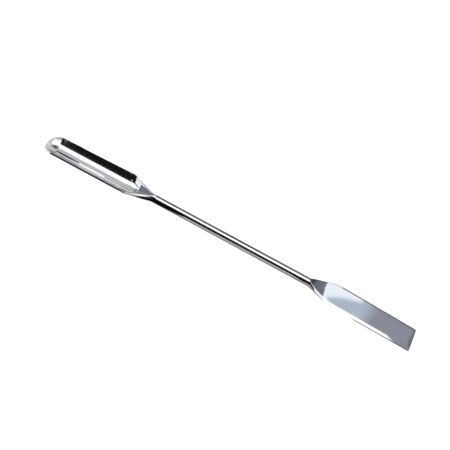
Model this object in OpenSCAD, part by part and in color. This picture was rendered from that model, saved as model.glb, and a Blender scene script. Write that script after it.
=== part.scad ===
// Double-ended laboratory spatula, forged from one round bar.
// +X runs along the rod towards the flat blade, +Z is up and out of the trough.
// The origin is on the rod's axis, at the middle of its round length. Millimetres.

/* [Rod] */
// Diameter of the round rod
rod_d = 4; // [3:0.1:5]
// Length of the rod that stays round, between the two necks
rod_len = 77.5; // [50:0.5:120]

/* [Trough] */
// Length of the trough, from the tip of its toe to its neck
trough_len = 42.3; // [30:0.1:60]
// Outer width of the trough where the neck starts
trough_w = 12.9; // [10:0.1:15.5]
// Outer width of the trough where the toe starts
toe_w = 12.1; // [9:0.1:14.6]
// Outer radius of the swage that the trough is rolled in
trough_r = 8; // [7.8:0.1:12]
// Thickness of the trough's wall
trough_wall = 1; // [0.6:0.05:1.4]
// Length of the rounded, dished toe
toe_len = 6.5; // [4:0.1:10]
// Fullness of the toe's outline: 2 is an ellipse and more is squarer
toe_fullness = 2.6; // [2:0.1:4]
// Height of the rim's outer edge over the rod's axis, where the neck starts
rim_up = 0.9; // [-0.5:0.1:1.5]
// Angle at which the trough falls towards its toe
trough_droop = 0.4; // [0:0.1:2]
// Length of the neck between the rod and the trough
trough_neck_len = 14.4; // [9:0.1:20]
// How far the rims dip in the neck, before they rise onto the rod
rim_dip = 0.65; // [0:0.05:1]
// How much of the neck the trough's floor runs on into before it climbs
floor_run = 0.32; // [0:0.01:0.5]

/* [Blade] */
// Length of the blade, from its neck to its square end
blade_len = 36.4; // [25:0.1:60]
// Width of the blade where the neck ends
blade_w = 12.9; // [9:0.1:16]
// Width of the blade at its square end
blade_end_w = 12.4; // [8:0.1:16]
// Thickness of the blade where the neck ends
blade_t = 1.05; // [0.6:0.05:1.6]
// Thickness of the blade at its square end
blade_end_t = 1.0; // [0.4:0.05:1.4]
// Height of the blade's middle plane over the rod's axis, where the neck ends
blade_up = 0.4; // [-0.4:0.1:0.4]
// Angle at which the blade falls towards its end
blade_droop = 2.7; // [0:0.1:3]
// How far in the polished roll of the blade's long edges reaches
blade_roll = 1.1; // [0.4:0.1:2]
// Radius of the blade's left end corner, seen from the rod
left_corner_r = 0.8; // [0.2:0.1:3]
// Radius of the blade's right end corner, seen from the rod
right_corner_r = 0.3; // [0.2:0.1:3]
// Length of the neck between the rod and the blade
blade_neck_len = 14.4; // [8:0.1:20]
// How much of that neck it takes to press its top down to the blade's
press_run = 0.5; // [0.3:0.05:0.9]

/* [Hidden] */
steel = [0.78, 0.79, 0.81];

// Places along the rod's axis
rod_end = rod_len / 2;
trough_root = -rod_end - trough_neck_len;
toe_tip = trough_root - trough_len;
toe_root = toe_tip + toe_len;
blade_root = rod_end + blade_neck_len;
blade_end = blade_root + blade_len;

// Sizes that follow from the ones above
rod_r = rod_d / 2;
inner_r = trough_r - trough_wall;
swage_z = rim_up + trough_r * cos(rim_angle(trough_w));
blade_top = blade_up + blade_t / 2;
blade_bottom = blade_up - blade_t / 2;
blade_drop = blade_len * tan(blade_droop);

// Angles round the rod from its bottom at which the faces of the necks run out:
// the trough's outer edge and its rim, then the blade's bottom and its top
edge_out = 146;
rim_out = 167;
bottom_out = 60;
top_out = 170;

// Shares of each climb along a neck that are curved, at its start and at its end
bottom_ease = [0.3, 0.3];
edge_ease = [0.1, 0.25];
rim_ease = [0.15, 0.35];
floor_ease = [0.06, 0.3];
hollow_ease = [0.3, 0.2];
spread_ease = [0.02, 0.5];
press_ease = [0.02, 0.2];
// How quickly the faces of each neck turn at first, where 1 is steady
trough_haste = 1.4;
blade_haste = 2.9;
press_haste = 3;
// Share of the blade's pressed slope that is hollow all along
press_hollow = 0.35;
// The rims dip deepest nearer to the trough than to the rod when this is under 1
dip_place = 0.65;
// The blade's neck has its sections closer together near the rod when this is over 1
neck_crowding = 1.4;

// Angles that the ground rim of the trough and the rolled edge of the blade turn through
rim_turn = 24;
blade_side_turn = 66;
// A flat face counts as a curve that turns by this little
flat_turn = 5;

// A loft ends this far inside the piece that it runs into
lap = 0.8;
// and this much under that piece's skin
under = 0.02;
// Its nearest section outside stands this far off the piece's end, so no faces coincide
clear = 0.1;

// Facets: rows up each half of a section, rows over its rim, and steps along each stretch
rows = 10;
rim_rows = 6;
straight_steps = 3;
trough_neck_steps = 18;
blade_neck_steps = 14;
toe_steps = 26;
corner_steps = 6;

half_n = 2 * rows + rim_rows + 1;
loop_n = 2 * half_n - 2;

function mix(a, b, e) = a + (b - a) * e;

// 0 to 1 along a straight ramp that is eased over a stretch at its start and at its end
function ramp(u, ease) =
    let (slope = 1 / (1 - ease[0] / 2 - ease[1] / 2))
    u < ease[0] ? slope * u * u / (2 * ease[0])
    : u <= 1 - ease[1] ? slope * (u - ease[0] / 2)
    : 1 - slope * pow(1 - u, 2) / (2 * ease[1]);

// 0 to 1, quick at first and then ever slower
function settle(u, haste) = 1 - pow(1 - u, haste);

// Half of the angle that a trough of this outer width takes up in the swage
function rim_angle(w) = asin(w / 2 / trough_r);

// A half-section is three curves that meet at two corners. Its list holds the
// bottom's height, the lower corner, the upper corner, the height of the middle of
// the top or floor, and the angles that the lower, rim and upper curves turn through.
function half_section(low, edge, rim, mid, low_turn, side_turn, top_turn) =
    [low, edge, rim, mid, low_turn, side_turn, top_turn];

// The half-section between two others, at a share of its own for each item
function blend(a, b, low, edge, rim, mid, turns) = half_section(
    mix(a[0], b[0], low),
    [mix(a[1][0], b[1][0], edge[0]), mix(a[1][1], b[1][1], edge[1])],
    [mix(a[2][0], b[2][0], rim[0]), mix(a[2][1], b[2][1], rim[1])],
    mix(a[3], b[3], mid),
    mix(a[4], b[4], turns),
    mix(a[5], b[5], turns),
    mix(a[6], b[6], turns));

// One point of a curve that leaves the middle plane level and turns by an angle
function swept(corner, start_z, turn, v) =
    [corner[0] * sin(turn * v) / sin(turn),
     mix(start_z, corner[1], (1 - cos(turn * v)) / (1 - cos(turn)))];

// One point of the curve over the rim, an arc that turns outwards by an angle
function over_rim(edge, rim, turn, v) =
    let (half = turn / 2,
         out = [rim[1] - edge[1], edge[0] - rim[0]],
         along = (sin(half) + sin(turn * v - half)) / 2 / sin(half),
         rise = (cos(turn * v - half) - cos(half)) / 2 / sin(half))
    mix(edge, rim, along) + out * rise;

// The half-section as points, from the bottom over the rim to the middle of the top
function half_points(s) = concat(
    [for (i = [0:rows]) swept(s[1], s[0], s[4], i / rows)],
    [for (i = [1:rim_rows - 1]) over_rim(s[1], s[2], s[5], i / rim_rows)],
    [for (i = [rows:-1:0]) swept(s[2], s[3], s[6], i / rows)]);

// The whole section: up the left half, then down the right half
function loop(x, s) =
    let (half = half_points(s))
    concat(
        [for (p = half) [x, p[0], p[1]]],
        [for (i = [half_n - 2:-1:1]) [x, -half[i][0], half[i][1]]]);

// Two triangles for each step between the loops, which follow each other along +X
function skin(loops) = [for (k = [0:len(loops) - 2], i = [0:loop_n - 1])
    let (a = k * loop_n + i, b = k * loop_n + (i + 1) % loop_n)
    each [[a, a + loop_n, b], [b, a + loop_n, b + loop_n]]];

// The flat end of the loop that starts at point a, in upright strips. It looks
// along +X for out = 1 and along -X for out = -1.
function cap(a, out) = [for (side = [1, -1])
    let (at = [for (i = [0:half_n - 1]) a + (side * i + loop_n) % loop_n],
         strips = [for (i = [0:rows - 1])
             [at[i], at[half_n - 1 - i], at[half_n - 2 - i], at[i + 1]]],
         rim = [for (i = [rows + rim_rows:-1:rows]) at[i]])
    for (face = concat(strips, [rim])) side == out ? face : turned(face)];

function turned(face) = [for (i = [len(face) - 1:-1:0]) face[i]];

// The rod's own section, divided where the faces of a neck run out on it
function rod_section(r, low_angle, top_angle) =
    half_section(-r,
                 r * [sin(low_angle), -cos(low_angle)],
                 r * [sin(top_angle), -cos(top_angle)],
                 r, low_angle, top_angle - low_angle, 180 - top_angle);

// Section of the trough at this place, with this outer width
function trough_section(x, w) =
    let (turn = rim_angle(w), z = swage_z - (trough_root - x) * tan(trough_droop))
    half_section(z - trough_r,
                 [trough_r * sin(turn), z - trough_r * cos(turn)],
                 [inner_r * sin(turn), z - inner_r * cos(turn)],
                 z - inner_r, turn, rim_turn, turn);

// Section of the trough's neck, from the trough at u = 0 to the rod at u = 1
function trough_neck_section(u) =
    let (climb = max(0, u - floor_run) / (1 - floor_run),
         s = blend(trough_section(trough_root, trough_w),
                   rod_section(rod_r - under, edge_out, rim_out),
                   low = ramp(u, bottom_ease),
                   edge = [ramp(u, edge_ease), u],
                   rim = [ramp(u, rim_ease), u],
                   mid = ramp(climb, floor_ease),
                   turns = settle(u, trough_haste)),
         dip = [0, rim_dip * sin(180 * pow(u, dip_place))],
         hollow = mix(rim_angle(trough_w), 180 - rim_out, ramp(climb, hollow_ease)))
    half_section(s[0], s[1] - dip, s[2] - dip, s[3], s[4], s[5], hollow);

// Sections of the trough and its neck with their places, from the toe to the rod
trough_loops = concat(
    [for (i = [straight_steps:-1:0])
        let (x = mix(trough_root, toe_root, i / straight_steps))
        loop(x, trough_section(x, mix(trough_w, toe_w, i / straight_steps)))],
    [for (i = [1:trough_neck_steps])
        let (u = i / trough_neck_steps)
        loop(min(mix(trough_root, -rod_end, u), -rod_end - clear), trough_neck_section(u))],
    [loop(-rod_end + lap, rod_section(rod_r - 5 * under, edge_out, rim_out))]);

// The toe turns the trough's first half-section round its upright axis, on an outline
// between an ellipse and a rectangle
toe_half = half_points(trough_section(toe_root, toe_w));
toe_stretch = 2 * toe_len / toe_w;
function toe_rib(turn) =
    let (along = toe_stretch * pow(sin(turn), 2 / toe_fullness),
         across = pow(abs(cos(turn)), 2 / toe_fullness) * sign(cos(turn)))
    [for (i = [1:half_n - 2])
        let (ahead = toe_half[i][0] * along)
        [toe_root - ahead, toe_half[i][0] * across, toe_half[i][1] - ahead * tan(trough_droop)]];

// Number of the point i of a toe's rib. Ribs 0 and toe_steps are the two sides of the
// first loop, and all the ribs meet at its lowest and highest middle points.
function toe_point(rib, i) =
    i == 0 || i == half_n - 1 || rib == 0 ? i
    : rib == toe_steps ? loop_n - i
    : len(trough_loops) * loop_n + (rib - 1) * (half_n - 2) + i - 1;

function toe_skin() = [for (rib = [0:toe_steps - 1], i = [0:half_n - 2])
    let (a = toe_point(rib, i), b = toe_point(rib, i + 1),
         c = toe_point(rib + 1, i), d = toe_point(rib + 1, i + 1))
    each [if (a != c) [a, b, c], if (b != d) [b, d, c]]];

module trough_and_neck() {
    ribs = [for (rib = [1:toe_steps - 1]) each toe_rib(180 * rib / toe_steps)];
    loops = [for (l = trough_loops) each l];
    polyhedron(
        concat(loops, ribs),
        concat(toe_skin(), skin(trough_loops), cap(len(loops) - loop_n, 1)));
}

module rod() {
    rotate([0, 90, 0]) cylinder(d = rod_d, h = rod_len, center = true, $fn = 96);
}

// Section of the blade where its neck ends, this far under its skin
function plate_section(inset) =
    let (half_w = blade_w / 2 - inset)
    half_section(blade_bottom + inset,
                 [half_w, blade_bottom + inset],
                 [half_w - blade_roll, blade_top - inset],
                 blade_top - inset, flat_turn, blade_side_turn, flat_turn);

// Section of the rod where a die has pressed its top flat, down to this height
function pressed_rod(r, top) =
    let (s = rod_section(r, bottom_out, min(top_out, acos(-top / r))))
    half_section(s[0], s[1], s[2], top, s[4], s[5], s[6]);

// Section of the blade's neck, from the rod at u = 0 to the blade at u = 1
function blade_neck_section(u, inset) =
    let (spread = ramp(u, spread_ease),
         flatten = settle(u, blade_haste),
         run = min(1, u / press_run),
         pressed = mix(ramp(run, press_ease), settle(run, press_haste), press_hollow),
         r = rod_r - under)
    blend(pressed_rod(r, mix(r, blade_top - inset, pressed)), plate_section(inset),
          low = flatten,
          edge = [spread, flatten],
          rim = [spread, 0],
          mid = 0,
          turns = flatten);

module blade_neck() {
    loops = concat(
        [loop(rod_end - lap, rod_section(rod_r - 5 * under, bottom_out, top_out))],
        [for (i = [0:blade_neck_steps])
            let (u = pow(i / blade_neck_steps, neck_crowding))
            loop(mix(rod_end + clear, blade_root - clear, u), blade_neck_section(u, under * u))],
        [loop(blade_root + lap, blade_neck_section(1, 5 * under))]);
    polyhedron(
        [for (l = loops) each l],
        concat(cap(0, -1), skin(loops), cap((len(loops) - 1) * loop_n, 1)));
}

// Points round an end corner of the blade, on the left side for 1 and the right for -1
function corner(r, side) =
    let (turn = [for (i = [0:corner_steps]) side * 90 * (side > 0 ? 1 - i / corner_steps : i / corner_steps)])
    [for (a = turn) [blade_end - r + r * cos(a), side * (blade_end_w / 2 - r) + r * sin(a)]];

// The blade's end view at its neck: its two rolled edges, with the sides running on down
module rolled_edges() {
    plate = plate_section(0);
    left = [for (i = [0:rim_rows]) over_rim(plate[1], plate[2], blade_side_turn, i / rim_rows)];
    right = [for (i = [rim_rows:-1:0]) [-left[i][0], left[i][1]]];
    polygon(concat([[blade_w / 2, -rod_d]], left, right, [[-blade_w / 2, -rod_d]]));
}

// The plan outline, the underside and the rolled edges each cut the blade to shape
module blade() {
    outline = concat(
        [[blade_root, -blade_w / 2], [blade_root, blade_w / 2]],
        corner(left_corner_r, 1),
        corner(right_corner_r, -1));
    thinning = (blade_t - blade_end_t) / 2;
    underside = [
        [blade_root, rod_d],
        [blade_end, rod_d],
        [blade_end, blade_bottom - blade_drop + thinning],
        [blade_root, blade_bottom]];
    top_fall = atan((blade_drop + thinning) / blade_len);
    intersection() {
        translate([0, 0, -2 * rod_d]) linear_extrude(4 * rod_d) polygon(outline);
        rotate([90, 0, 0]) linear_extrude(2 * blade_w, center = true) polygon(underside);
        translate([blade_root, 0, blade_top])
            rotate([0, top_fall, 0])
                rotate([90, 0, 90])
                    translate([0, -blade_top, -rod_d])
                        linear_extrude(blade_len + 2 * rod_d) rolled_edges();
    }
}

module spatula() {
    color(steel) union() {
        trough_and_neck();
        rod();
        blade_neck();
        blade();
    }
}

spatula();
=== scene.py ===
"""Finished look of a double-ended laboratory spatula, forged and polished from one steel bar.

The row frame is in metres: +X runs along the rod towards the flat blade and +Z is up, out of
the trough. Sizes in the classes are in millimetres, as a maker would note them.
"""

import logging
import math
from dataclasses import dataclass, field, replace
from enum import Enum

import bpy
import numpy as np
from mathutils import Matrix, Vector


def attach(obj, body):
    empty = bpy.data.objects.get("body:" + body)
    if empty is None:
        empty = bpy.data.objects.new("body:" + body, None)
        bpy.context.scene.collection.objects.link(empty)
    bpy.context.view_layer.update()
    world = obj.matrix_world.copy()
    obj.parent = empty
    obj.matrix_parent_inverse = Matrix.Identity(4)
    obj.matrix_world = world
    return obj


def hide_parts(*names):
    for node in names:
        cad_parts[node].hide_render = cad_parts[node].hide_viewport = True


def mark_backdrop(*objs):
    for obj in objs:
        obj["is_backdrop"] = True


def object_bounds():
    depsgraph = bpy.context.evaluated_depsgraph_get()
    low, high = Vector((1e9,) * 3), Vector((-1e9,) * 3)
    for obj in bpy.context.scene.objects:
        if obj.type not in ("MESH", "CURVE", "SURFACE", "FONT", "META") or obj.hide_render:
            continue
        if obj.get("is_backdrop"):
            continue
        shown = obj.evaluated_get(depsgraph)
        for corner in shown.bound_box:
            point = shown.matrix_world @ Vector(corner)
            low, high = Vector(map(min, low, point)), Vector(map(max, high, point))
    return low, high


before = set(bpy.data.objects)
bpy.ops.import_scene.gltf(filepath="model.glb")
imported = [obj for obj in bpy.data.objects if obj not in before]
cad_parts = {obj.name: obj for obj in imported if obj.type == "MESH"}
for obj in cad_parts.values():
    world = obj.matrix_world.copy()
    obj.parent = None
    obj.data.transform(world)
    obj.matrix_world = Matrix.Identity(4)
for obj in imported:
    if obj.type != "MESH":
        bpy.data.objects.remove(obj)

LOG = logging.getLogger("spatula")
MM = 0.001
COVER = "cover"
# Two lines count as one when the sine of the angle between them is under this.
STRAIGHT = 1e-4
# Most of a section's side that one softened corner may take up.
SOFT_SHARE = 0.45
Pair = tuple[float, float]
Triple = tuple[float, float, float]


# ---------------------------------------------------------------- easing


def mix(start: float, end: float, share: float) -> float:
    """The value that lies this share of the way from start to end."""
    return start + (end - start) * share


def mix_pair(start: Pair, end: Pair, shares: Pair) -> Pair:
    """Mixes two pairs, each half at its own share."""
    return mix(start[0], end[0], shares[0]), mix(start[1], end[1], shares[1])


def ramp(u: float, ease: Pair) -> float:
    """A straight climb from 0 to 1 that starts and ends level.

    Args:
        u: Place along the climb, from 0 to 1.
        ease: Lengths of the curved start and the curved end.

    Returns:
        The height at u.
    """
    ease_in, ease_out = ease
    slope = 1 / (1 - ease_in / 2 - ease_out / 2)
    if u < ease_in:
        return slope * u * u / (2 * ease_in)
    if u <= 1 - ease_out:
        return slope * (u - ease_in / 2)
    return 1 - slope * (1 - u) ** 2 / (2 * ease_out)


def settle(u: float, power: float) -> float:
    """A climb from 0 to 1 that is quick at first and then ever slower."""
    return 1 - max(0.0, 1 - u) ** power


# ---------------------------------------------------------------- sections


@dataclass(frozen=True)
class RowPlan:
    """How many points each part of a half-section gets."""

    face: int = 30
    corner: int = 6
    side: int = 12
    crowding: float = 1.5
    fine: int = 120

    @property
    def total(self) -> int:
        """Points of one half-section, both middle ones included."""
        return 2 * self.face + 2 * self.corner + self.side


@dataclass(frozen=True)
class HalfSection:
    """Half of a cross-section: a lower curve, a side and an upper curve, with two corners.

    Each soft pair holds how far a corner's rounding reaches along the two curves beside it.
    """

    low: float
    edge: Pair
    rim: Pair
    mid: float
    low_turn: float
    side_turn: float
    top_turn: float
    soft_low: Pair = (0.18, 0.18)
    soft_top: Pair = (0.18, 0.18)

    def lowered(self, drop: float) -> "HalfSection":
        """The same half-section with its side lowered by drop."""
        (edge_y, edge_z), (rim_y, rim_z) = self.edge, self.rim
        return replace(self, edge=(edge_y, edge_z - drop), rim=(rim_y, rim_z - drop))

    def towards(
        self,
        other: "HalfSection",
        low: float,
        edge: Pair,
        rim: Pair,
        mid: float,
        turns: float,
    ) -> "HalfSection":
        """The half-section between this one and another, at a share of its own for each part.

        Args:
            other: The half-section at share 1.
            low: Share for the bottom's height.
            edge: Shares for the lower corner, across and up.
            rim: Shares for the upper corner, across and up.
            mid: Share for the height of the top's or floor's middle.
            turns: Share for the angles and for how soft the corners are.

        Returns:
            The blended half-section.
        """
        return HalfSection(
            low=mix(self.low, other.low, low),
            edge=mix_pair(self.edge, other.edge, edge),
            rim=mix_pair(self.rim, other.rim, rim),
            mid=mix(self.mid, other.mid, mid),
            low_turn=mix(self.low_turn, other.low_turn, turns),
            side_turn=mix(self.side_turn, other.side_turn, turns),
            top_turn=mix(self.top_turn, other.top_turn, turns),
            soft_low=mix_pair(self.soft_low, other.soft_low, (turns, turns)),
            soft_top=mix_pair(self.soft_top, other.soft_top, (turns, turns)),
        )

    @staticmethod
    def _swept(corner: Pair, start_z: float, turn: float, v: np.ndarray) -> np.ndarray:
        """Points of a curve that leaves the middle plane level and turns up to a corner.

        Args:
            corner: Where the curve ends.
            start_z: Its height at the middle plane.
            turn: The angle it turns through, in degrees.
            v: Shares of that angle.

        Returns:
            One row of (across, up) for each share.
        """
        a, t = np.radians(turn * v), math.radians(turn)
        across = corner[0] * np.sin(a) / math.sin(t)
        up = start_z + (corner[1] - start_z) * (1 - np.cos(a)) / (1 - math.cos(t))
        return np.stack([across, up], axis=1)

    @staticmethod
    def _bowed(start: Pair, end: Pair, turn: float, v: np.ndarray) -> np.ndarray:
        """Points of an arc between two corners that bows outwards.

        Args:
            start: The first corner.
            end: The second corner.
            turn: The angle it turns through, in degrees.
            v: Shares of that angle.

        Returns:
            One row of (across, up) for each share.
        """
        half = math.radians(turn) / 2
        p, q = np.array(start), np.array(end)
        out = np.array([q[1] - p[1], p[0] - q[0]])
        along = (math.sin(half) + np.sin(2 * half * v - half)) / (2 * math.sin(half))
        rise = (np.cos(2 * half * v - half) - math.cos(half)) / (2 * math.sin(half))
        return p + (q - p) * along[:, None] + out * rise[:, None]

    @staticmethod
    def _cut(line: np.ndarray, start: float, end: float, where: np.ndarray) -> np.ndarray:
        """Points along a line that is trimmed at both ends.

        Args:
            line: The line's points.
            start: Length taken off its start.
            end: Length taken off its end.
            where: Shares of the length that is left.

        Returns:
            One point for each share.
        """
        steps = np.linalg.norm(np.diff(line, axis=0), axis=1)
        far = np.concatenate([[0.0], np.cumsum(steps)])
        at = start + (far[-1] - start - end) * where
        return np.stack([np.interp(at, far, line[:, k]) for k in (0, 1)], axis=1)

    @staticmethod
    def _softened(before: np.ndarray, after: np.ndarray, count: int) -> np.ndarray:
        """Points of a smooth curve over a corner, tangent to the lines on both sides of it.

        Args:
            before: The trimmed line that leads to the corner.
            after: The trimmed line that leads away from it.
            count: How many points.

        Returns:
            The points between the two lines' ends.
        """
        p, q = before[-1], after[0]
        d, e = p - before[-2], after[1] - q
        d, e = d / np.linalg.norm(d), e / np.linalg.norm(e)
        cross = d[0] * e[1] - d[1] * e[0]
        gap = q - p
        if abs(cross) < STRAIGHT:
            bend = (p + q) / 2
        else:
            bend = p + d * (gap[0] * e[1] - gap[1] * e[0]) / cross
        w = (np.arange(1, count + 1) / (count + 1))[:, None]
        return p * (1 - w) ** 2 + bend * 2 * w * (1 - w) + q * w**2

    def outline(self, plan: RowPlan) -> np.ndarray:
        """The half-section as points, from the middle of the bottom to the middle of the top.

        Args:
            plan: How many points each part gets.

        Returns:
            An array with one row of (across, up) for each point, in millimetres.
        """
        v = np.linspace(0, 1, plan.fine)
        lower = self._swept(self.edge, self.low, self.low_turn, v)
        side = self._bowed(self.edge, self.rim, self.side_turn, v)
        upper = self._swept(self.rim, self.mid, self.top_turn, v)[::-1]
        room = SOFT_SHARE * float(np.linalg.norm(np.diff(side, axis=0), axis=1).sum())
        trims = min(room, self.soft_low[1]), min(room, self.soft_top[1])
        crowded = 1 - (1 - np.linspace(0, 1, plan.face)) ** plan.crowding
        lower = self._cut(lower, 0, self.soft_low[0], crowded)
        side = self._cut(side, *trims, np.linspace(0, 1, plan.side))
        upper = self._cut(upper, self.soft_top[0], 0, 1 - crowded[::-1])
        return np.concatenate([
            lower,
            self._softened(lower, side, plan.corner),
            side,
            self._softened(side, upper, plan.corner),
            upper,
        ])


# ---------------------------------------------------------------- the forged parts


@dataclass(frozen=True)
class Ring:
    """A whole cross-section at one place along the rod."""

    x: float
    half: np.ndarray

    def points(self) -> np.ndarray:
        """The section's points, up its left side and down its right, in millimetres."""
        both = np.concatenate([self.half, self.half[-2:0:-1] * np.array([-1.0, 1.0])])
        return np.column_stack([np.full(len(both), self.x), both])


@dataclass(frozen=True)
class Rod:
    """The round bar that the tool is forged from."""

    diameter: float = 4.0
    length: float = 77.5
    rings: int = 24

    @property
    def end(self) -> float:
        """Distance from the rod's middle to where its round length stops."""
        return self.length / 2

    def section(self, low_angle: float, top_angle: float) -> HalfSection:
        """The round section, divided at two angles from its bottom.

        Args:
            low_angle: Where the lower face of a neck runs out, in degrees.
            top_angle: Where the upper face of a neck runs out, in degrees.

        Returns:
            The divided half-section.
        """
        r = self.diameter / 2
        a, b = math.radians(low_angle), math.radians(top_angle)
        return HalfSection(
            low=-r,
            edge=(r * math.sin(a), -r * math.cos(a)),
            rim=(r * math.sin(b), -r * math.cos(b)),
            mid=r,
            low_turn=low_angle,
            side_turn=top_angle - low_angle,
            top_turn=180 - top_angle,
        )


@dataclass(frozen=True)
class Trough:
    """The round-toed scoop, rolled in a swage, and the neck that joins it to the rod."""

    rod: Rod
    length: float = 42.3
    width: float = 12.9
    toe_width: float = 12.1
    radius: float = 8.0
    wall: float = 1.0
    toe_length: float = 6.5
    fullness: float = 2.6
    rim_up: float = 0.9
    droop: float = 0.4
    neck: float = 14.4
    rim_dip: float = 0.65
    floor_run: float = 0.32
    edge_out: float = 146.0
    rim_out: float = 167.0
    rim_turn: float = 24.0
    bottom_ease: Pair = (0.3, 0.3)
    edge_ease: Pair = (0.1, 0.25)
    rim_ease: Pair = (0.15, 0.35)
    floor_ease: Pair = (0.06, 0.3)
    hollow_ease: Pair = (0.3, 0.2)
    haste: float = 1.4
    dip_place: float = 0.65
    straight_rings: int = 12
    neck_rings: int = 84
    toe_ribs: int = 96

    @property
    def root(self) -> float:
        """Place where the neck starts."""
        return -self.rod.end - self.neck

    @property
    def toe_root(self) -> float:
        """Place where the straight sides turn into the toe."""
        return self.root - self.length + self.toe_length

    def _turn(self, width: float) -> float:
        """Half of the angle that a trough of this width takes up, in degrees."""
        return math.degrees(math.asin(width / 2 / self.radius))

    def section(self, x: float, width: float) -> HalfSection:
        """Half-section of the trough at a place.

        Args:
            x: Place along the rod's axis.
            width: Outer width there.

        Returns:
            The half-section.
        """
        turn = self._turn(width)
        s, c = math.sin(math.radians(turn)), math.cos(math.radians(turn))
        top = self.rim_up + self.radius * math.cos(math.radians(self._turn(self.width)))
        z = top - (self.root - x) * math.tan(math.radians(self.droop))
        inner = self.radius - self.wall
        return HalfSection(
            low=z - self.radius,
            edge=(self.radius * s, z - self.radius * c),
            rim=(inner * s, z - inner * c),
            mid=z - inner,
            low_turn=turn,
            side_turn=self.rim_turn,
            top_turn=turn,
        )

    def neck_section(self, u: float) -> HalfSection:
        """Half-section of the neck.

        Args:
            u: Place along the neck, from the trough at 0 to the rod at 1.

        Returns:
            The half-section.
        """
        climb = max(0.0, u - self.floor_run) / (1 - self.floor_run)
        start = self.section(self.root, self.width)
        end = self.rod.section(self.edge_out, self.rim_out)
        between = start.towards(
            end,
            low=ramp(u, self.bottom_ease),
            edge=(ramp(u, self.edge_ease), u),
            rim=(ramp(u, self.rim_ease), u),
            mid=ramp(climb, self.floor_ease),
            turns=settle(u, self.haste),
        )
        hollow = mix(start.top_turn, end.top_turn, ramp(climb, self.hollow_ease))
        dip = self.rim_dip * math.sin(math.pi * u**self.dip_place)
        return replace(between, top_turn=hollow).lowered(dip)

    def rings(self, plan: RowPlan) -> list[Ring]:
        """The trough's and neck's rings.

        Args:
            plan: How many points each part of a half-section gets.

        Returns:
            The rings, from where the toe starts to the rod.
        """
        made = []
        for i in range(self.straight_rings):
            share = i / self.straight_rings
            x = mix(self.toe_root, self.root, share)
            width = mix(self.toe_width, self.width, share)
            made.append(Ring(x, self.section(x, width).outline(plan)))
        for i in range(self.neck_rings):
            u = i / self.neck_rings
            x = mix(self.root, -self.rod.end, u)
            made.append(Ring(x, self.neck_section(u).outline(plan)))
        return made

    def toe(self, half: np.ndarray) -> list[np.ndarray]:
        """The toe's ribs, from the left side round to the right.

        Args:
            half: The trough's half-section where the toe starts.

        Returns:
            One array of points for each rib, its two middle points left out.
        """
        stretch = 2 * self.toe_length / self.toe_width
        fall = math.tan(math.radians(self.droop))
        power = 2 / self.fullness
        y, z = half[1:-1, 0], half[1:-1, 1]
        ribs = []
        for k in range(1, self.toe_ribs):
            turn = math.pi * k / self.toe_ribs
            ahead = y * stretch * math.sin(turn) ** power
            across = math.copysign(abs(math.cos(turn)) ** power, math.cos(turn))
            ribs.append(np.column_stack([self.toe_root - ahead, y * across, z - ahead * fall]))
        return ribs


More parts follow.
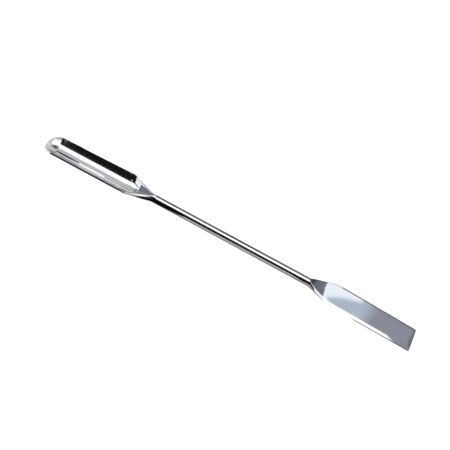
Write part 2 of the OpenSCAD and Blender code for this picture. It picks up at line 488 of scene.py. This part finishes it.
@dataclass(frozen=True)
class Blade:
    """The flat, square-ended blade and the neck that joins it to the rod."""

    rod: Rod
    length: float = 36.4
    width: float = 12.9
    end_width: float = 12.4
    thickness: float = 1.05
    end_thickness: float = 1.0
    up: float = 0.4
    droop: float = 2.7
    roll: float = 1.1
    neck: float = 14.4
    press_run: float = 0.5
    bend_reach: float = 5.0
    left_corner: float = 0.8
    right_corner: float = 0.3
    bottom_out: float = 60.0
    top_out: float = 170.0
    side_turn: float = 66.0
    flat_turn: float = 5.0
    spread_ease: Pair = (0.02, 0.5)
    press_ease: Pair = (0.02, 0.2)
    haste: float = 2.9
    press_haste: float = 3.0
    press_hollow: float = 0.35
    end_thinning: float = 0.28
    thinning_from: float = 0.6
    neck_rings: int = 70
    rings_along: int = 30
    corner_rings: int = 10
    soft_top: Pair = (0.5, 0.35)
    soft_bottom: Pair = (0.15, 0.15)

    @property
    def root(self) -> float:
        """Place where the neck ends."""
        return self.rod.end + self.neck

    def section(self, share: float) -> HalfSection:
        """Half-section of the blade.

        Args:
            share: Place along it, as a share of its length. Under 0 it lies in the neck.

        Returns:
            The half-section.
        """
        half = mix(self.width, self.end_width, max(0.0, share)) / 2
        thick = mix(self.thickness, self.end_thickness, max(0.0, share))
        z = self.up - self._fall(share * self.length)
        return HalfSection(
            low=z - thick / 2,
            edge=(half, z - thick / 2),
            rim=(half - self.roll, z + thick / 2),
            mid=z + thick / 2,
            low_turn=self.flat_turn,
            side_turn=self.side_turn,
            top_turn=self.flat_turn,
            soft_low=self.soft_bottom,
            soft_top=self.soft_top,
        )

    def _fall(self, x: float) -> float:
        """How far the blade has fallen at this distance past its neck.

        Args:
            x: Distance past the neck. The bend starts a little before it.

        Returns:
            The fall.
        """
        reach = self.bend_reach
        slope = math.tan(math.radians(self.droop))
        if x < -reach:
            return 0.0
        if x > reach:
            return slope * x
        return slope * (x + reach) ** 2 / (4 * reach)

    def neck_section(self, u: float) -> HalfSection:
        """Half-section of the neck.

        Args:
            u: Place along the neck, from the rod at 0 to the blade at 1.

        Returns:
            The half-section.
        """
        spread, flatten = ramp(u, self.spread_ease), settle(u, self.haste)
        r, plate = self.rod.diameter / 2, self.section((u - 1) * self.neck / self.length)
        pressed = min(1.0, u / self.press_run)
        flat, hollow = ramp(pressed, self.press_ease), settle(pressed, self.press_haste)
        top = mix(r, plate.mid, mix(flat, hollow, self.press_hollow))
        crease = min(self.top_out, math.degrees(math.acos(-top / r)))
        return replace(self.rod.section(self.bottom_out, crease), mid=top).towards(
            plate,
            low=flatten,
            edge=(spread, flatten),
            rim=(spread, 0.0),
            mid=0.0,
            turns=flatten,
        )

    def rings(self, plan: RowPlan) -> list[Ring]:
        """The neck's and blade's rings.

        Args:
            plan: How many points each part of a half-section gets.

        Returns:
            The rings, from the rod to the square end.
        """
        made = []
        for i in range(self.neck_rings):
            u = i / self.neck_rings
            x = mix(self.rod.end, self.root, u)
            made.append(Ring(x, self.neck_section(u).outline(plan)))
        for i in range(self.rings_along + 1):
            share = i / self.rings_along * (1 - self.left_corner / self.length)
            made.append(Ring(self.root + share * self.length, self.section(share).outline(plan)))
        return made

    def end_rings(self, last: np.ndarray) -> list[np.ndarray]:
        """Whole rings that round off the square end, the left corner more than the right.

        Args:
            last: The points of the blade's last ring.

        Returns:
            The rings, each as an array of points.
        """
        made = []
        z_mid = (last[:, 2].max() + last[:, 2].min()) / 2
        half = np.abs(last[:, 1]).max()
        for k in range(1, self.corner_rings + 1):
            share = k / self.corner_rings
            a = math.pi / 2 * share
            ring = last.copy()
            ring[:, 0] = last[0, 0] + self.left_corner * math.sin(a)
            for side, radius in ((1, self.left_corner), (-1, self.right_corner)):
                flank = last[:, 1] * side > 0
                into = max(0.0, self.left_corner * (math.sin(a) - 1) + radius)
                pull = radius - math.sqrt(max(0.0, radius**2 - into**2))
                ring[flank, 1] = last[flank, 1] * (half - pull) / half
            late = max(0.0, share - self.thinning_from) / (1 - self.thinning_from)
            ring[:, 2] = z_mid + (last[:, 2] - z_mid) * (1 - self.end_thinning * late**2)
            made.append(ring)
        return made


@dataclass
class Forging:
    """The whole tool as one skin: the toe, trough, rod and blade."""

    plan: RowPlan = RowPlan()
    rod: Rod = Rod()
    trough: Trough = Trough(Rod())
    blade: Blade = Blade(Rod())
    points: list[np.ndarray] = field(default_factory=list)
    faces: list[tuple[int, ...]] = field(default_factory=list)
    count: int = 0

    def _add(self, points: np.ndarray) -> int:
        """Adds points to the skin.

        Args:
            points: The new points, in millimetres.

        Returns:
            The number of the first one.
        """
        first = self.count
        self.points.append(points)
        self.count += len(points)
        return first

    def _skin(self, a: int, b: int, n: int) -> None:
        """Adds the quads between two rings that follow each other along +X.

        Args:
            a: Number of the first ring's first point.
            b: Number of the second ring's first point.
            n: Points in a ring.
        """
        for i in range(n):
            j = (i + 1) % n
            self.faces.append((a + i, a + j, b + j, b + i))

    def _toe(self, first: int, half: np.ndarray, n: int) -> None:
        """Closes the trough with its dished toe.

        Args:
            first: Number of the first ring's first point.
            half: The half-section where the toe starts.
            n: Points in a ring.
        """
        ribs = [self._add(rib) for rib in self.trough.toe(half)]
        rows = len(half)

        def at(rib: int, i: int) -> int:
            """Finds a point. The first ring's two sides count as the outer ribs.

            Args:
                rib: Number of the rib.
                i: Number of the point on it.

            Returns:
                The point's number in the mesh.
            """
            if i in (0, rows - 1) or rib == 0:
                return first + i
            if rib == self.trough.toe_ribs:
                return first + n - i
            return ribs[rib - 1] + i - 1

        for rib in range(self.trough.toe_ribs):
            for i in range(rows - 1):
                corners = [at(rib, i), at(rib + 1, i), at(rib + 1, i + 1), at(rib, i + 1)]
                self.faces.append(tuple(dict.fromkeys(corners)))

    def _close_end(self, ring: int, n: int) -> None:
        """Closes the square end with upright strips.

        Args:
            ring: Number of the last ring's first point.
            n: Points in a ring.
        """
        rows = n // 2 + 1
        for side in (1, -1):
            at = [ring + (side * i) % n for i in range(rows)]
            for i in range(rows // 2 - 1):
                quad = (at[i], at[i + 1], at[rows - 2 - i], at[rows - 1 - i])
                self.faces.append(quad if side == 1 else quad[::-1])
            left = at[rows // 2 - 1 : rows - rows // 2 + 1]
            if len(left) > 2:
                self.faces.append(tuple(left) if side == 1 else tuple(left[::-1]))

    def build(self, name: str) -> bpy.types.Object:
        """Makes the mesh.

        Args:
            name: The new piece's name.

        Returns:
            The piece, smooth-shaded and linked to the scene.
        """
        plan, rod, trough, blade = self.plan, self.rod, self.trough, self.blade
        rings = trough.rings(plan)
        trough_half = rod.section(trough.edge_out, trough.rim_out).outline(plan)
        blade_half = rod.section(blade.bottom_out, blade.top_out).outline(plan)
        for i in range(rod.rings):
            share = i / rod.rings
            half = trough_half * (1 - share) + blade_half * share
            half = half / np.linalg.norm(half, axis=1)[:, None] * rod.diameter / 2
            rings.append(Ring(mix(-rod.end, rod.end, share), half))
        rings += blade.rings(plan)
        starts = [self._add(ring.points()) for ring in rings]
        n = 2 * plan.total - 2
        for a, b in zip(starts, starts[1:]):
            self._skin(a, b, n)
        last = starts[-1]
        for points in blade.end_rings(rings[-1].points()):
            new = self._add(points)
            self._skin(last, new, n)
            last = new
        self._close_end(last, n)
        self._toe(starts[0], rings[0].half, n)
        mesh = bpy.data.meshes.new(name)
        mesh.from_pydata((np.concatenate(self.points) * MM).tolist(), [], self.faces)
        mesh.validate()
        mesh.shade_smooth()
        piece = bpy.data.objects.new(name, mesh)
        bpy.context.scene.collection.objects.link(piece)
        return piece

    @staticmethod
    def dress(piece: bpy.types.Object, finish: "PolishedSteel") -> None:
        """Gives the piece its finish."""
        piece.data.materials.append(finish.make("polished_steel"))


# ---------------------------------------------------------------- shader maths


class Op(Enum):
    """Math node operations that the finishes use."""

    ADD = "ADD"
    SUBTRACT = "SUBTRACT"
    MULTIPLY = "MULTIPLY"
    MAXIMUM = "MAXIMUM"
    MINIMUM = "MINIMUM"


class Tree:
    """A material's node tree, with one method that adds any node."""

    def __init__(self, material: bpy.types.Material) -> None:
        """Empties the material's tree.

        Args:
            material: The material to fill.
        """
        material.use_nodes = True
        self.nodes = material.node_tree.nodes
        self.links = material.node_tree.links
        self.nodes.clear()

    def add(self, kind: str, settings: dict | None = None, **sockets: object) -> bpy.types.Node:
        """Adds a node.

        Args:
            kind: The node's type.
            settings: Its own settings, set before its sockets.
            sockets: A value or link for each input, by its name with _ for a space, or by its
                number as _0.

        Returns:
            The new node.
        """
        node = self.nodes.new(kind)
        for key, value in (settings or {}).items():
            setattr(node, key, value)
        for key, value in sockets.items():
            numbered = key[0] == "_" and key[1:].isdigit()
            socket = node.inputs[int(key[1:]) if numbered else key.replace("_", " ")]
            if isinstance(value, Socket):
                self.links.new(value.socket, socket)
            elif isinstance(value, bpy.types.NodeSocket):
                self.links.new(value, socket)
            else:
                socket.default_value = value
        return node

    def value(self, node: bpy.types.Node, output: str | int = 0) -> "Socket":
        """Wraps one of a node's outputs."""
        return Socket(self, node.outputs[output])


class Socket:
    """A node's output that adds Math nodes when it is used in an expression."""

    def __init__(self, tree: Tree, socket: bpy.types.NodeSocket) -> None:
        """Keeps the tree and the output.

        Args:
            tree: The tree that the output is in.
            socket: The output.
        """
        self.tree = tree
        self.socket = socket

    def _math(self, op: Op, first: object, second: object) -> "Socket":
        """Adds a Math node on two values or sockets."""
        node = self.tree.add("ShaderNodeMath", {"operation": op.value}, _0=first, _1=second)
        return self.tree.value(node)

    def __add__(self, other: object) -> "Socket":
        """This plus other."""
        return self._math(Op.ADD, self, other)

    def __radd__(self, other: object) -> "Socket":
        """Other plus this."""
        return self._math(Op.ADD, other, self)

    def __sub__(self, other: object) -> "Socket":
        """This less other."""
        return self._math(Op.SUBTRACT, self, other)

    def __rsub__(self, other: object) -> "Socket":
        """Other less this."""
        return self._math(Op.SUBTRACT, other, self)

    def __mul__(self, other: object) -> "Socket":
        """This times other."""
        return self._math(Op.MULTIPLY, self, other)

    def __rmul__(self, other: object) -> "Socket":
        """Other times this."""
        return self._math(Op.MULTIPLY, other, self)

    def clamped(self, low: float = 0.0, high: float = 1.0) -> "Socket":
        """This, held between low and high."""
        return self._math(Op.MINIMUM, self._math(Op.MAXIMUM, self, low), high)


# ---------------------------------------------------------------- finishes


@dataclass(frozen=True)
class Noise:
    """A noise with its own size along the tool and across it, in millimetres."""

    along: float
    across: float
    detail: float
    rough: float

    def make(self, tree: Tree, place: Socket) -> Socket:
        """Adds the noise.

        Args:
            tree: The material's tree.
            place: Object coordinates, in metres.

        Returns:
            The noise's value, from 0 to 1.
        """
        along, across = 1 / (self.along * MM), 1 / (self.across * MM)
        spread = tree.add(
            "ShaderNodeVectorMath", {"operation": "MULTIPLY"}, _0=place, _1=(along, across, across)
        )
        noise = tree.add(
            "ShaderNodeTexNoise", {"noise_dimensions": "3D"},
            Vector=spread.outputs[0], Scale=1.0, Detail=self.detail, Roughness=self.rough,
        )
        return tree.value(noise, "Fac")


@dataclass(frozen=True)
class Scratches:
    """Sparse fine scratches from use, which crowd the two working ends."""

    streaks: Noise = Noise(2.6, 0.07, 1.0, 0.5)
    turns: Pair = (17.0, -24.0)
    least: float = 0.62
    sharpness: float = 9.0
    worn_from: float = 50.0
    worn_over: float = 8.0
    fewest: float = 0.25

    def make(self, tree: Tree, place: Socket) -> Socket:
        """Adds the scratches.

        Args:
            tree: The material's tree.
            place: Object coordinates, in metres.

        Returns:
            How scratched each place is, from 0 to 1.
        """
        pattern = None
        for turn in self.turns:
            turned = tree.add(
                "ShaderNodeMapping", {"vector_type": "TEXTURE"},
                Vector=place, Rotation=(0.0, 0.0, math.radians(turn)),
            )
            marks = self.streaks.make(tree, tree.value(turned)) - self.least
            marks = (marks * self.sharpness).clamped()
            pattern = marks if pattern is None else (pattern + marks).clamped()
        x = tree.value(tree.add("ShaderNodeSeparateXYZ", None, Vector=place), "X")
        start, end = (self.worn_from * MM) ** 2, ((self.worn_from + self.worn_over) * MM) ** 2
        worn = ((x * x - start) * (1 / (end - start))).clamped()
        return pattern * (self.fewest + worn * (1 - self.fewest))


@dataclass(frozen=True)
class PolishedSteel:
    """Stainless steel, ground along its length and then polished on a soft wheel."""

    bright: Triple = (0.82, 0.825, 0.835)
    dull: Triple = (0.76, 0.765, 0.785)
    cloud_tint: float = 0.7
    roughness: float = 0.10
    roughness_range: Pair = (0.02, 0.6)
    clouds: Noise = Noise(6.0, 6.0, 3.0, 0.55)
    cloud_roughness: float = 0.05
    lines: Noise = Noise(9.0, 0.10, 2.0, 0.5)
    line_roughness: float = 0.05
    line_depth: float = 0.0006
    waves: Noise = Noise(12.857, 9.0, 1.0, 0.4)
    wave_depth: float = 0.006
    scratches: Scratches = Scratches()
    scratch_depth: float = 0.0006
    scratch_roughness: float = 0.05

    def make(self, name: str) -> bpy.types.Material:
        """Makes the material.

        Args:
            name: The material's name.

        Returns:
            The material.
        """
        material = bpy.data.materials.new(name)
        tree = Tree(material)
        place = tree.value(tree.add("ShaderNodeTexCoord"), "Object")
        clouds = self.clouds.make(tree, place)
        lines = self.lines.make(tree, place)
        waves = self.waves.make(tree, place)
        scratches = self.scratches.make(tree, place)
        tint = tree.add(
            "ShaderNodeMix", {"data_type": "RGBA"},
            _0=(clouds * self.cloud_tint + lines * (1 - self.cloud_tint)).clamped(),
            _6=(*self.dull, 1.0), _7=(*self.bright, 1.0),
        )
        rough = (
            self.roughness
            + (clouds - 0.5) * self.cloud_roughness
            + (lines - 0.5) * self.line_roughness
            + scratches * self.scratch_roughness
        )
        height = (
            lines * (self.line_depth * MM)
            + waves * (self.wave_depth * MM)
            - scratches * (self.scratch_depth * MM)
        )
        bump = tree.add("ShaderNodeBump", None, Strength=1.0, Distance=1.0, Height=height)
        shader = tree.add(
            "ShaderNodeBsdfPrincipled", None,
            Base_Color=tint.outputs[2], Metallic=1.0,
            Roughness=rough.clamped(*self.roughness_range), Normal=bump.outputs[0],
        )
        tree.add("ShaderNodeOutputMaterial", None, Surface=shader.outputs[0])
        return material


@dataclass(frozen=True)
class Glow:
    """An emitting surface for a studio card, which fades out where its cover does."""

    colour: Triple
    strength: float = 1.0

    def make(self, name: str) -> bpy.types.Material:
        """Makes the material.

        Args:
            name: The material's name.

        Returns:
            The material.
        """
        material = bpy.data.materials.new(name)
        tree = Tree(material)
        cover = tree.add("ShaderNodeAttribute", {"attribute_name": COVER})
        clear = tree.add("ShaderNodeBsdfTransparent")
        light = tree.add(
            "ShaderNodeEmission", None, Color=(*self.colour, 1.0), Strength=self.strength
        )
        both = tree.add(
            "ShaderNodeMixShader", None,
            _0=cover.outputs["Fac"], _1=clear.outputs[0], _2=light.outputs[0],
        )
        tree.add("ShaderNodeOutputMaterial", None, Surface=both.outputs[0])
        return material


@dataclass(frozen=True)
class Paper:
    """The white sweep that the tool lies on, lit so evenly that shadows all but vanish."""

    colour: Triple = (0.8, 0.8, 0.8)
    roughness: float = 0.5
    light: Triple = (1.0, 1.0, 1.0)
    brightness: float = 0.9

    def make(self, name: str) -> bpy.types.Material:
        """Makes the material.

        Args:
            name: The material's name.

        Returns:
            The material.
        """
        material = bpy.data.materials.new(name)
        tree = Tree(material)
        matt = tree.add(
            "ShaderNodeBsdfDiffuse", None, Color=(*self.colour, 1.0), Roughness=self.roughness
        )
        light = tree.add(
            "ShaderNodeEmission", None, Color=(*self.light, 1.0), Strength=self.brightness
        )
        both = tree.add("ShaderNodeAddShader", None, _0=matt.outputs[0], _1=light.outputs[0])
        tree.add("ShaderNodeOutputMaterial", None, Surface=both.outputs[0])
        return material


# ---------------------------------------------------------------- studio


@dataclass(frozen=True)
class Card:
    """A curved studio card with soft edges, seen only as a reflection.

    Its corners are given as pairs of angles in degrees from the tool: how far each is turned
    towards the blade's end, and how far it leans from straight above towards the far side. The
    feather is the width of its soft edge in degrees, and its distance is in metres. A nearer
    card hides what is behind it.
    """

    name: str
    corners: tuple[Pair, ...]
    glow: Glow
    feather: float = 3.0
    distance: float = 2.5
    pitch: float = 1.5
    stretch: float = 1.0

    def _point(self, along: float, lean: float) -> Vector:
        """Places a point.

        Args:
            along: Its first coordinate.
            lean: Its angle towards the far side.

        Returns:
            The point, in metres.
        """
        a, b = math.radians(lean), math.radians(along)
        ahead, aside = math.sin(b), math.cos(b)
        return Vector((ahead, aside * math.sin(a), aside * math.cos(a))) * self.distance

    def _cover(self, along: np.ndarray, lean: np.ndarray) -> np.ndarray:
        """How much of the card there is at each place: 1 well inside, 0 outside.

        Args:
            along: First coordinates.
            lean: Angles towards the far side.

        Returns:
            The cover at each place.
        """
        near = np.full(along.shape, np.inf)
        inside = np.zeros(along.shape, dtype=bool)
        for (x0, y0), (x1, y1) in zip(self.corners, self.corners[1:] + self.corners[:1]):
            dx, dy = (x1 - x0) * self.stretch, y1 - y0
            x, y = (along - x0) * self.stretch, lean - y0
            share = np.clip((x * dx + y * dy) / (dx * dx + dy * dy), 0, 1)
            near = np.minimum(near, np.hypot(x - share * dx, y - share * dy))
            if dy != 0:
                spans = (lean < y0) != (lean < y1)
                inside ^= spans & (x < y * dx / dy)
        depth = np.clip(np.where(inside, near, 0) / self.feather, 0, 1)
        return depth * depth * (3 - 2 * depth)

    def build(self) -> bpy.types.Object:
        """Makes the card.

        Returns:
            The card.
        """
        (left, low), (right, high) = np.min(self.corners, axis=0), np.max(self.corners, axis=0)
        columns = max(2, math.ceil((right - left) * self.stretch / self.pitch)) + 1
        rows = max(2, math.ceil((high - low) / self.pitch)) + 1
        along, lean = np.meshgrid(np.linspace(left, right, columns), np.linspace(low, high, rows))
        along, lean = along.ravel(), lean.ravel()
        points = [self._point(x, y) for x, y in zip(along, lean)]
        faces = [
            (a, a + 1, a + columns + 1, a + columns)
            for a in (r * columns + c for r in range(rows - 1) for c in range(columns - 1))
        ]
        mesh = bpy.data.meshes.new(self.name)
        mesh.from_pydata(points, [], faces)
        cover = mesh.attributes.new(COVER, "FLOAT", "POINT")
        cover.data.foreach_set("value", self._cover(along, lean))
        card = bpy.data.objects.new(self.name, mesh)
        bpy.context.scene.collection.objects.link(card)
        card.data.materials.append(self.glow.make(self.name))
        card.visible_camera = False
        card.visible_diffuse = False
        card.visible_shadow = False
        return card


@dataclass(frozen=True)
class Sleeve(Card):
    """A small card bent round the tool's axis, close to it, so that it serves one place only.

    Its corners pair a place along the rod, in millimetres, with an angle of lean in degrees. Its
    distance is from the rod's axis, still in metres.
    """

    pitch: float = 1.2
    stretch: float = 4.0

    def _point(self, along: float, lean: float) -> Vector:
        """The card's point at this place along the rod and this lean."""
        a = math.radians(lean)
        return Vector((along * MM, self.distance * math.sin(a), self.distance * math.cos(a)))


def block(along: Pair, lean: Pair) -> tuple[Pair, ...]:
    """Corners of an upright rectangular card between two first coordinates and two leans."""
    return ((along[0], lean[0]), (along[1], lean[0]), (along[1], lean[1]), (along[0], lean[1]))


@dataclass(frozen=True)
class Camera:
    """The camera, in the row frame, with its place in millimetres."""

    place: Triple = (28.278, -197.399, 260.050)
    right: Triple = (0.875766, 0.429764, 0.219856)
    up: Triple = (-0.471458, 0.663583, 0.580848)
    lens: float = 59.14
    sensor: float = 36.0
    clip: Pair = (0.01, 50.0)

    def build(self) -> None:
        """Makes the camera and gives it to the scene."""
        data = bpy.data.cameras.new("camera")
        data.lens, data.sensor_width = self.lens, self.sensor
        data.clip_start, data.clip_end = self.clip
        camera = bpy.data.objects.new("camera", data)
        right, up = Vector(self.right).normalized(), Vector(self.up)
        up = (up - right * up.dot(right)).normalized()
        turn = Matrix((right, up, right.cross(up))).transposed().to_4x4()
        camera.matrix_world = Matrix.Translation(Vector(self.place) * MM) @ turn
        bpy.context.scene.collection.objects.link(camera)
        bpy.context.scene.camera = camera


BLACK = Glow((0.002, 0.002, 0.002))
SLATE = Glow((0.285, 0.295, 0.36))


def white(strength: float) -> Glow:
    """A white card's glow."""
    return Glow((1.0, 1.0, 1.0), strength)


@dataclass(frozen=True)
class Studio:
    """Pale floor, soft overhead light and the cards that the polished steel mirrors.

    The cards in `room` are far off and serve the whole tool. The others serve one part each.
    """

    floor_z: float
    floor_half: float = 40.0
    light_size: float = 2.0
    light_height: float = 2.2
    light_power: float = 20.0
    fill: Triple = (0.43, 0.44, 0.47)
    room: tuple[Card, ...] = (
        Card("card_table", block((-85, 85), (-178, -62)), Glow((0.52, 0.51, 0.48)), 8.0, 2.6),
        Card(
            "card_table_edge", block((-85, 85), (-178, -118)),
            Glow((0.30, 0.28, 0.26)), 12.0, 2.58,
        ),
        Card("card_overhead", block((-85, 85), (-34, 32)), white(1.4), 6.0, 2.56),
        Card("card_far_wall", block((-85, 85), (24, 140)), Glow((0.58, 0.58, 0.59)), 6.0, 2.5),
        Card("card_window", block((-2, 65), (15, 50)), white(1.3), 3.0, 2.45),
        Card("card_front_right", block((6, 85), (-112, -22)), Glow((0.57, 0.57, 0.56)), 3.0, 2.4),
        Card("card_front_left", block((-85, -15), (-112, -24)), white(1.05), 3.0, 2.35),
    )
    trough: tuple[Card, ...] = (
        Card(
            "card_slope",
            ((-88, -70), (-51, -70), (-48, -20), (-37, 0), (-31, 30), (-31, 90), (-88, 90)),
            Glow((0.19, 0.20, 0.25)), 3.0, 2.33,
        ),
        Card(
            "card_far_rim",
            (
                (-33, -110), (-33, -38), (-29, -24), (-28, -5),
                (-4, -5), (-4, -64), (-14, -64), (-14, -110),
            ),
            BLACK, 2.0, 2.3,
        ),
        Card("card_toe_hook", block((19, 52), (-40, -9)), Glow((0.56, 0.56, 0.57)), 5.0, 2.21),
        Card("card_toe_rim", block((41.5, 62), (-12, 90)), Glow((0.68, 0.68, 0.68)), 2.0, 2.2),
        Card("card_band", block((-46, -19), (28, 62)), Glow((0.58, 0.58, 0.60)), 5.0, 0.31),
        Card("card_toe", block((-21, 40), (44, 104)), Glow((0.66, 0.65, 0.62)), 3.0, 0.309),
        Card("card_streak", block((-44, -31), (54, 91)), Glow((0.002, 0.002, 0.006)), 3.0, 0.308),
        Card(
            "card_toe_tail", ((-48, 22), (-37, 24), (-33, 29), (-36, 37), (-48, 37)),
            Glow((0.24, 0.24, 0.27)), 4.0, 0.306,
        ),
        Card(
            "card_toe_spot",
            ((-26, 20), (-18, 17), (-8, 21), (2, 28), (12, 37), (20, 43), (20, 52), (-22, 46)),
            Glow((0.18, 0.18, 0.21)), 5.0, 0.305,
        ),
        Card(
            "card_toe_core", ((-14, 28), (4, 30), (7, 39), (-12, 40)),
            Glow((0.02, 0.02, 0.04)), 4.0, 0.304,
        ),
        Sleeve(
            "sleeve_wall", ((-84, 58), (-60.5, 58), (-60.5, 112), (-84, 128)),
            white(1.2), 4.0, 0.0150,
        ),
        Sleeve(
            "sleeve_wall_line", block((-70, -53), (60, 88)),
            Glow((0.30, 0.30, 0.29)), 6.0, 0.0147,
        ),
        Sleeve("sleeve_step", block((-54, -47), (14, 112)), Glow((0.22, 0.22, 0.25)), 2.5, 0.0146),
        Sleeve("sleeve_dip", block((-56, -48), (-62, -9)), BLACK, 2.5, 0.0145),
        Sleeve(
            "sleeve_toe_rim",
            ((-160, -60), (-95.4, -60), (-95.4, -8), (-98, 0), (-98, 112), (-160, 112)),
            Glow((0.72, 0.72, 0.72)), 2.0, 0.0142,
        ),
    )
    bar: tuple[Card, ...] = (
        Sleeve("sleeve_rod_white", block((-42.8, 20), (-28, 18)), white(1.3), 2.0, 0.0137),
        Sleeve(
            "sleeve_rod_far", block((-43, 40.5), (16, 74)),
            Glow((0.10, 0.10, 0.11)), 4.0, 0.0136,
        ),
        Sleeve(
            "sleeve_rod_far_dark", block((-9, 13), (18, 72)),
            Glow((0.02, 0.02, 0.02)), 8.0, 0.01355,
        ),
        Sleeve(
            "sleeve_rod_black",
            (
                (-42.9, -84), (-42.9, -66), (-41.6, -57), (-40.6, -27),
                (39.3, -27), (39.3, -80), (-38, -84),
            ),
            BLACK, 2.0, 0.0135,
        ),
        Sleeve(
            "sleeve_rod_under",
            (
                (-44, -155), (-44, -72), (-40.6, -66), (-23, -72),
                (-25, -90), (-28, -115), (-37, -155),
            ),
            BLACK, 2.0, 0.0134,
        ),
        Sleeve(
            "sleeve_root_black", ((28, -70), (39.3, -70), (39.3, -92), (36, -99), (33, -90)),
            BLACK, 3.0, 0.0133,
        ),
    )
    blade: tuple[Card, ...] = (
        Sleeve(
            "sleeve_blade", block((44, 70), (12, 60)),
            Glow((0.82, 0.86, 0.90), 1.25), 2.0, 0.0132,
        ),
        Sleeve(
            "sleeve_blue",
            ((48.3, 4), (48.3, 28), (56, 43), (63.5, 53), (65, 66), (110, 66), (110, 4)),
            Glow((0.48, 0.56, 0.69)), 12.0, 0.0131,
        ),
        Sleeve(
            "sleeve_slate", ((64, -60), (66, 28), (67, 140), (140, 140), (140, -60)),
            SLATE, 34.0, 0.0130,
        ),
        Sleeve(
            "sleeve_blade_far", block((53, 110), (55, 112)),
            Glow((0.20, 0.20, 0.19)), 3.0, 0.0129,
        ),
        Sleeve(
            "sleeve_near_white",
            ((42, -104), (42, -50), (44, -15), (46.5, 8), (48, 14), (86, 14), (86, -104)),
            white(1.25), 3.0, 0.0128,
        ),
        Sleeve("sleeve_near_slate", block((80.6, 140), (-145, 24)), SLATE, 16.0, 0.0127),
        Sleeve(
            "sleeve_near_line", block((62, 140), (-145, -78)),
            Glow((0.13, 0.13, 0.13)), 14.0, 0.01265,
        ),
        Sleeve(
            "sleeve_end",
            ((91.9, -145), (91.9, 14), (90.5, 60), (90.5, 112), (120, 112), (120, -145)),
            Glow((0.09, 0.09, 0.10)), 2.5, 0.0124,
        ),
        Sleeve(
            "sleeve_flank", ((39.7, -98), (39.7, -60), (41, -25), (46, -20), (46, -98)),
            white(1.0), 1.5, 0.0074,
        ),
        Sleeve(
            "sleeve_slope", ((40, 6), (47.4, 6), (46.5, 40), (46.2, 80), (40, 80)),
            Glow((0.15, 0.16, 0.20)), 1.2, 0.0073,
        ),
        Sleeve(
            "sleeve_crease", block((38.7, 43.4), (6, 80)),
            Glow((0.04, 0.04, 0.05)), 3.0, 0.0072,
        ),
    )

    def _floor(self) -> bpy.types.Object:
        """Makes the floor that the camera sees.

        Returns:
            The floor.
        """
        h = self.floor_half
        mesh = bpy.data.meshes.new("floor")
        mesh.from_pydata([(-h, -h, 0), (h, -h, 0), (h, h, 0), (-h, h, 0)], [], [(0, 1, 2, 3)])
        floor = bpy.data.objects.new("floor", mesh)
        floor.location.z = self.floor_z
        bpy.context.scene.collection.objects.link(floor)
        floor.data.materials.append(Paper().make("paper"))
        floor.visible_glossy = False
        return floor

    def _light(self) -> None:
        """Makes the soft overhead light, which only the floor receives."""
        data = bpy.data.lights.new("softbox", "AREA")
        data.shape, data.size, data.energy = "SQUARE", self.light_size, self.light_power
        light = bpy.data.objects.new("softbox", data)
        light.location = (0.0, 0.0, self.light_height)
        light.visible_glossy = False
        bpy.context.scene.collection.objects.link(light)

    def _world(self) -> None:
        """Sets the even fill light."""
        world = bpy.data.worlds.new("fill")
        world.use_nodes = True
        background = world.node_tree.nodes["Background"]
        background.inputs["Color"].default_value = (*self.fill, 1.0)
        background.inputs["Strength"].default_value = 1.0
        bpy.context.scene.world = world

    def build(self) -> None:
        """Makes the floor, lights and cards, and marks them as the stage."""
        floor = self._floor()
        self._light()
        self._world()
        cards = [card.build() for card in self.room + self.trough + self.bar + self.blade]
        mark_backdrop(floor, *cards)
        bpy.context.scene.view_settings.view_transform = "Standard"


# ---------------------------------------------------------------- assembly


def main() -> None:
    """Builds the tool and its studio."""
    logging.basicConfig(level=logging.INFO, format="%(name)s: %(message)s")
    cad_box = [list(corner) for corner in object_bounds()]
    forging = Forging()
    spatula = forging.build("spatula_polished")
    forging.dress(spatula, PolishedSteel())
    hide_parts("spatula")
    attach(spatula, "root")
    mesh = spatula.data
    LOG.info("%s: %d vertices, %d faces", spatula.name, len(mesh.vertices), len(mesh.polygons))
    Studio(floor_z=cad_box[0][2]).build()
    Camera().build()
    LOG.info("studio: floor at %.2f mm", cad_box[0][2] / MM)


if __name__ == "__main__":
    main()
